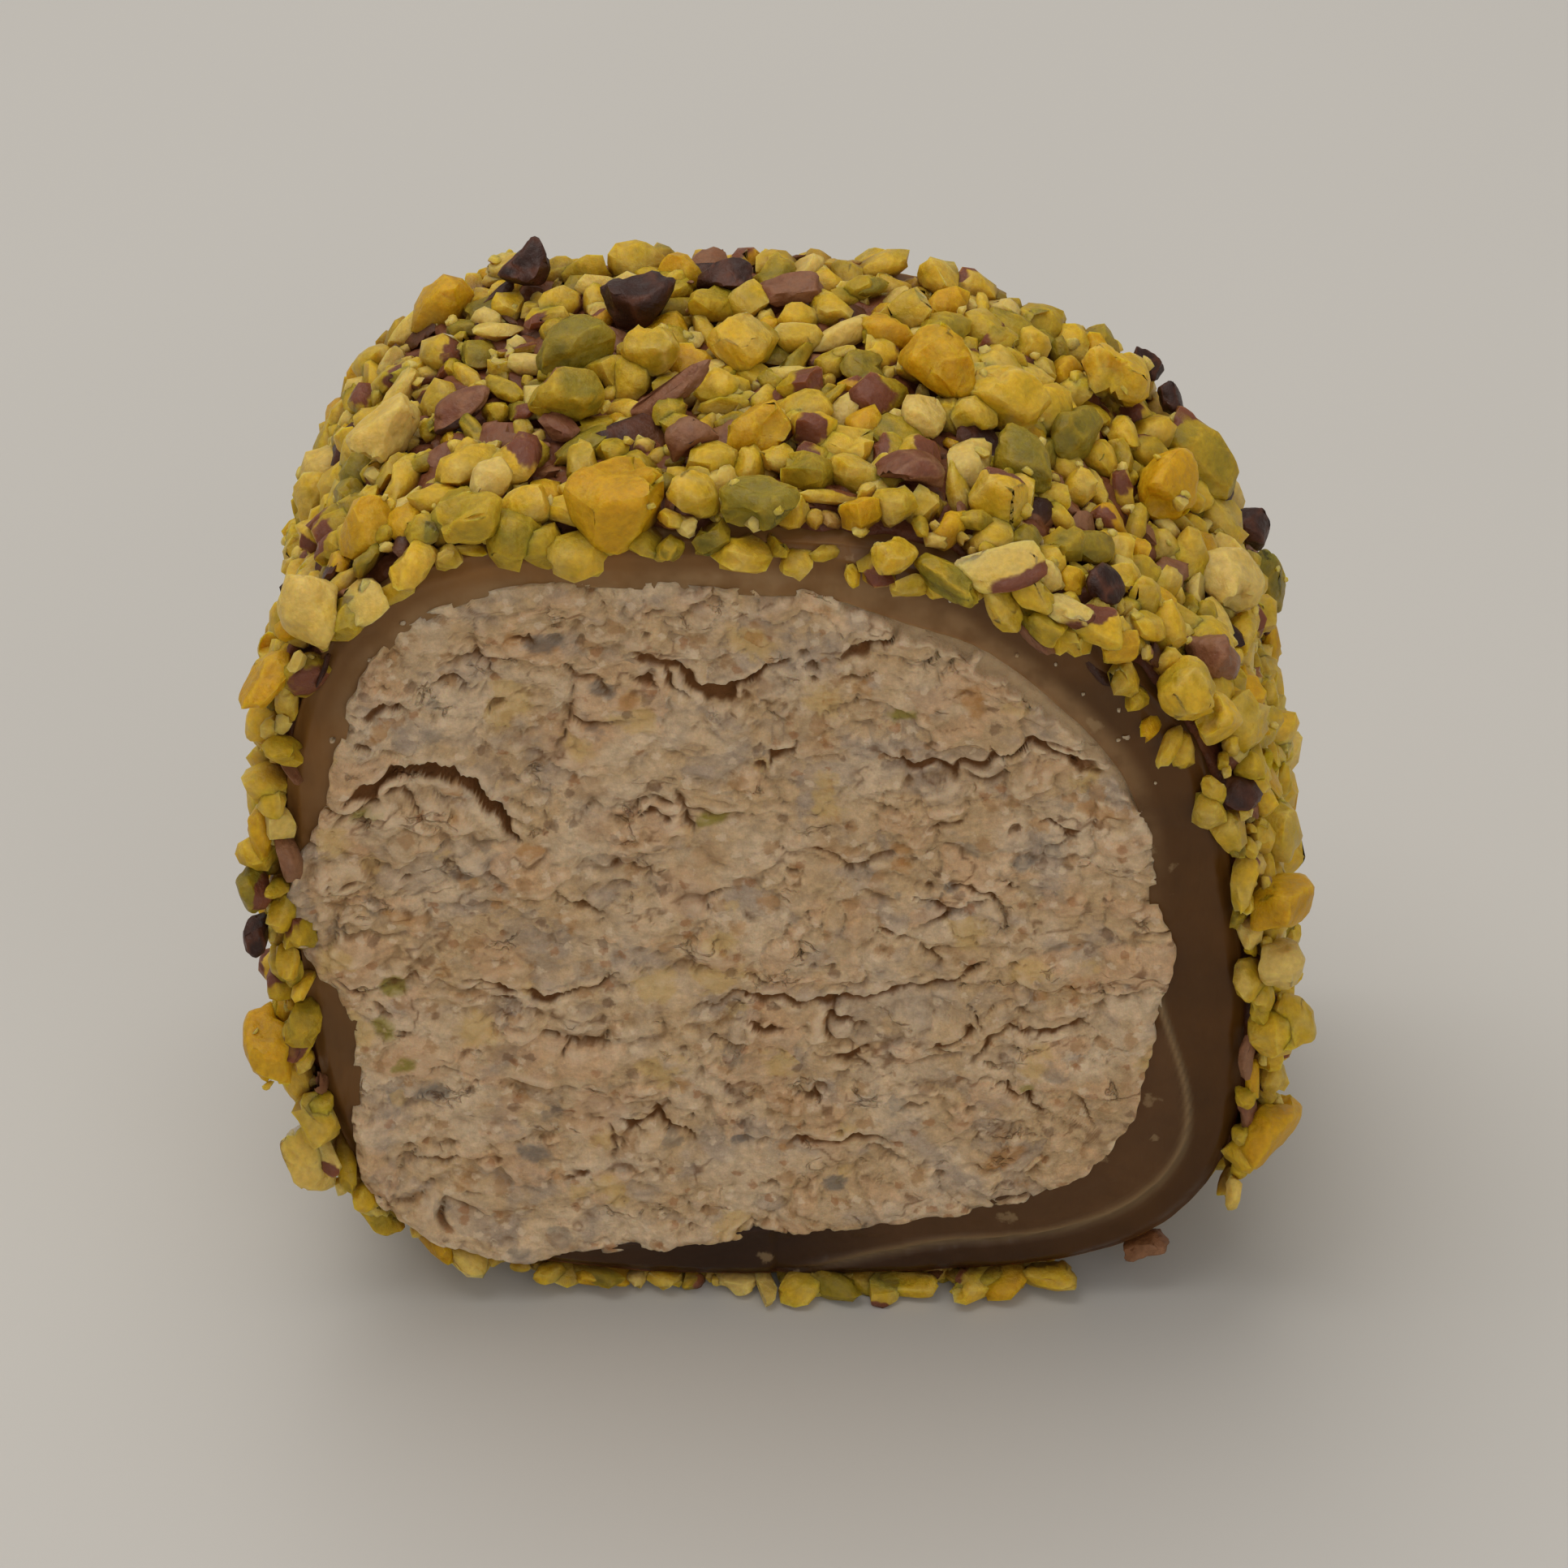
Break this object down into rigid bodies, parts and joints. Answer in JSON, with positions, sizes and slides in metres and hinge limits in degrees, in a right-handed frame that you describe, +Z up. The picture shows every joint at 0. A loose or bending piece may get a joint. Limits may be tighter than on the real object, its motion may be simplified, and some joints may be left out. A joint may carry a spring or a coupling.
{
  "type": "turkish delight roll",
  "caption": "Short cut piece of a sweet roll: crumbly pressed halva in a rolled sheet of delight, coated all round with chopped pistachios, resting on its side.",
  "frame": {"origin": "under the middle of the piece, on the plane that it rests on", "axes": "+Z up, +Y along the axis of the roll away from its best cut, -Y out of that cut, +X to the right as that cut is seen"},
  "size_m": [0.0516, 0.0276, 0.0491],
  "materials": {
    "pressed_halva": "rough, crumbly and dry, with fine specks of nut and crystals of sugar",
    "delight_gel": "glossy, sticky, translucent brown jelly with knife drag marks",
    "chopped_pistachio": "satin broken nut, golden to yellow-green and cream, with purple-brown skins"
  },
  "bodies": {
    "root": {"halva_filling": "pressed_halva", "delight_wrap": "delight_gel", "pistachio_coat": "chopped_pistachio"}
  },
  "joints": []
}
